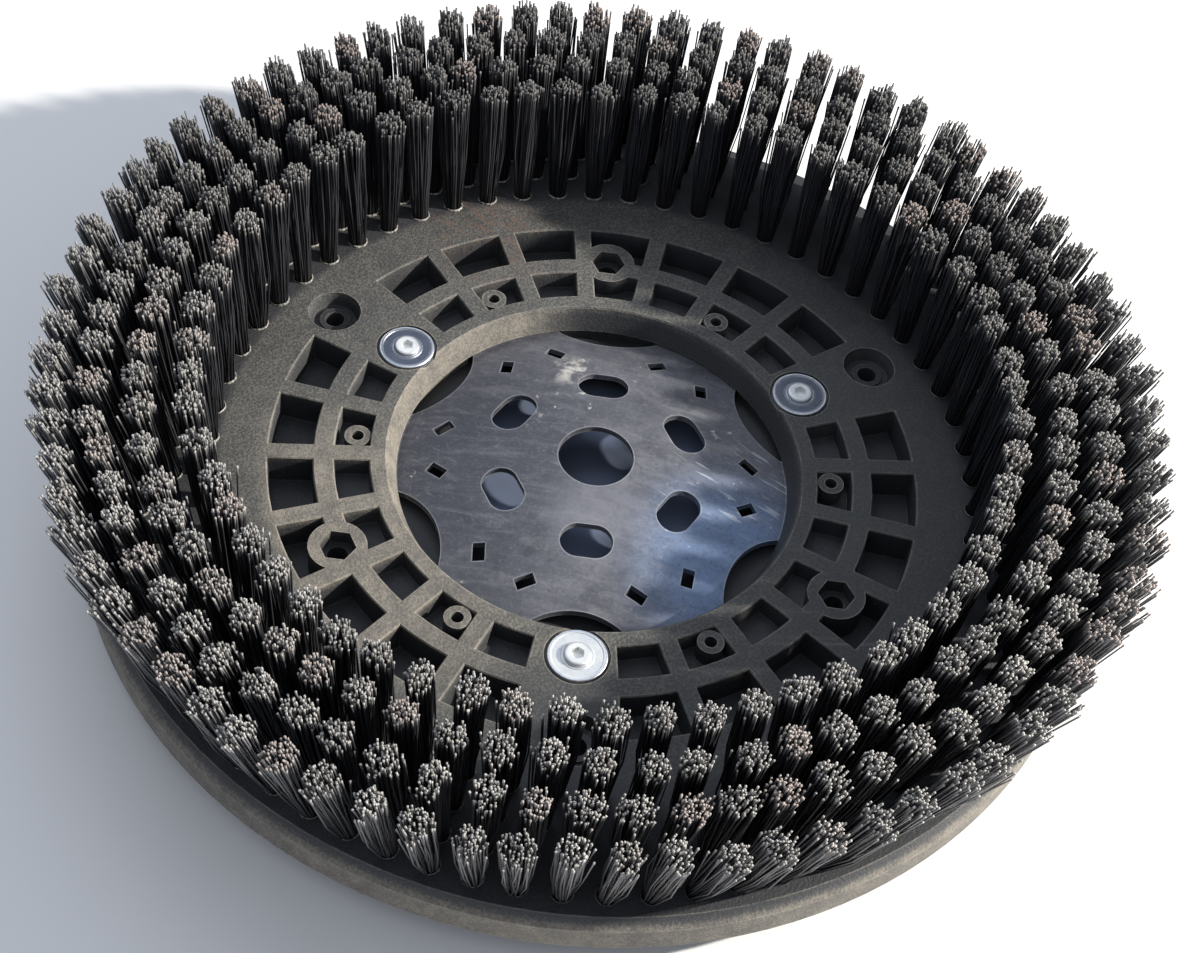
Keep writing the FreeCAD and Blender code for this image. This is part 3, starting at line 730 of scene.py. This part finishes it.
for number, ring_facts in enumerate(RINGS, 1):
    ring = grow_ring(number, *ring_facts)
    print(ring.name, ring_facts[0], "tufts,", len(ring.data.polygons), "faces")
bpy.data.objects.remove(FILAMENT, do_unlink=True)

# %% [markdown]
# ## Lips round the tuft holes
#
# Drilling leaves a small raised lip round each hole, and the tuft pushes it up a little more on the side
# it leans away from. It is a low ring that is higher on the inner side. One ring is modelled and copied
# to every hole, turned so that its high side faces the middle.

# %% One lip
LIP_R = 4.15 * MM
LIP_THICK = 0.42 * MM  # radius of its rounded section
LIP_RAISED, LIP_LOWERED = 0.55 * MM, -0.25 * MM


def make_lip():
    fresh()
    bpy.ops.mesh.primitive_torus_add(major_radius=LIP_R, minor_radius=LIP_THICK,
                                     major_segments=14, minor_segments=4)
    lip = bpy.context.object
    settle(lip, "lip")
    pick_points(lip, lambda c: c.z > 0.1 * MM and c.x < -1.5 * MM)
    bpy.ops.transform.translate(value=(0, 0, LIP_RAISED))
    bpy.ops.object.mode_set(mode="OBJECT")
    pick_points(lip, lambda c: c.x > 1.5 * MM)
    bpy.ops.transform.translate(value=(0, 0, LIP_LOWERED))
    bpy.ops.object.mode_set(mode="OBJECT")
    return lip


LIP = make_lip()
print("lip:", len(LIP.data.polygons), "faces")

# %% Lips of all the holes
def copy_lips(number, tufts, root_r, first):
    rng = np.random.default_rng(77 + number)
    base, faces = mesh_arrays(LIP)
    points = []
    for k in range(tufts):
        angle = math.radians(first + 360.0 * k / tufts)
        turn = angle + rng.normal(0, 0.3)
        size = np.array([1.0, 1.0, rng.uniform(0.75, 1.25)])
        c, s = math.cos(turn), math.sin(turn)
        spun = (base * size) @ np.array([[c, s, 0], [-s, c, 0], [0, 0, 1]])
        points.append(spun + [root_r * MM * math.cos(angle), root_r * MM * math.sin(angle), FACE_Z])
    mesh = repeated_mesh(f"hole_lips_{number}", np.concatenate(points), faces, tufts)
    return place_piece(mesh, LIP_PLASTIC)


for number, (tufts, root_r, _, first) in enumerate(RINGS, 1):
    lips = copy_lips(number, tufts, root_r, first)
    print(lips.name, len(lips.data.polygons), "faces")
bpy.data.objects.remove(LIP, do_unlink=True)

# %% [markdown]
# ## Floor, light and camera
#
# The brush lies on its back on a plain pale floor, standing on the ends of its three clamp screws. A warm
# lamp comes in low from the right, because grazing light draws out the ribs and the bristles; a big cool
# fill from behind and a pale surround keep the shadows readable. The camera is a 60 mm lens some 0.8 m
# away, at 51 degrees above the horizon and rolled a little.

# %% Floor
FLOOR_Z = CAD_BOX[0].z - 0.2 * MM  # a hair below the lowest point
FLOOR_SIZE = 8.0
fresh()
bpy.ops.mesh.primitive_plane_add(size=FLOOR_SIZE, location=(0, 0, FLOOR_Z))
floor = settle(bpy.context.object, "floor")
paper = Finish("pale_paper")
tint = paper.noise(3.0, 2.0)
paper.feed("Base Color", paper.mix(tint, (0.90, 0.90, 0.895), (0.93, 0.93, 0.925)))
paper.feed("Roughness", 0.75 + 0.1 * tint)
floor.data.materials.append(paper.material)
print("floor at", round(FLOOR_Z, 4))

# %% Lamps
VIEW_TURN = -31.853  # how far the camera is turned about the brush's axis, in degrees
LIT_POINT = (0, 0, 0.03)


def lamp(name, azimuth, elevation, distance, size, watts, colour):
    """A round lamp that looks at the brush; azimuth is measured from +X towards +Y."""
    data = bpy.data.lights.new(name, "AREA")
    data.shape, data.size, data.energy, data.color = "DISK", size, watts, colour
    made = bpy.data.objects.new(name, data)
    bpy.context.collection.objects.link(made)
    a, e = math.radians(azimuth), math.radians(elevation)
    made.location = (distance * math.cos(a) * math.cos(e), distance * math.sin(a) * math.cos(e),
                     distance * math.sin(e))
    made.rotation_mode = "QUATERNION"
    made.rotation_quaternion = (Vector(LIT_POINT) - made.location).to_track_quat("-Z", "Y")


lamp("key", azimuth=VIEW_TURN + 5, elevation=28, distance=2.2, size=0.10, watts=94.0,
     colour=(1.0, 0.955, 0.88))
lamp("fill", azimuth=VIEW_TURN + 120, elevation=55, distance=2.4, size=1.6, watts=10.0,
     colour=(0.80, 0.88, 1.0))
world = bpy.data.worlds.new("studio")
bpy.context.scene.world = world
world.use_nodes = True
surround = world.node_tree.nodes["Background"].inputs
surround["Color"].default_value = (0.83, 0.885, 1.0, 1.0)
surround["Strength"].default_value = 0.50

# %% Camera
ELEVATION = math.radians(50.9227)
ROLL = math.radians(8.7803)
DISTANCE = 0.81931
AIM_POINT = Vector((-0.00078, -0.01002, 0))
SENSOR_MM, LENS_MM = 36.0, 59.61


def place_camera():
    turn = Matrix.Rotation(math.radians(VIEW_TURN), 3, "Z")
    back = Vector((0, -math.cos(ELEVATION), math.sin(ELEVATION)))
    spot = AIM_POINT + back * DISTANCE
    right = Vector((1, 0, 0))
    up = right.cross(-back)
    right_r = right * math.cos(ROLL) + up * math.sin(ROLL)
    up_r = up * math.cos(ROLL) - right * math.sin(ROLL)
    cam = bpy.data.objects.new("camera", bpy.data.cameras.new("camera"))
    bpy.context.collection.objects.link(cam)
    cam.data.sensor_width, cam.data.lens = SENSOR_MM, LENS_MM
    cam.data.clip_start, cam.data.clip_end = 0.05, 30.0
    cam.rotation_mode = "QUATERNION"
    axes = Matrix([turn @ right_r, turn @ up_r, turn @ back]).transposed()
    cam.location = turn @ spot + Vector((0, 0, FACE_Z))
    cam.rotation_quaternion = axes.to_quaternion()
    bpy.context.scene.camera = cam
    return cam


print("camera at", [round(x, 4) for x in place_camera().location])
bpy.context.scene.view_settings.view_transform = "Standard"
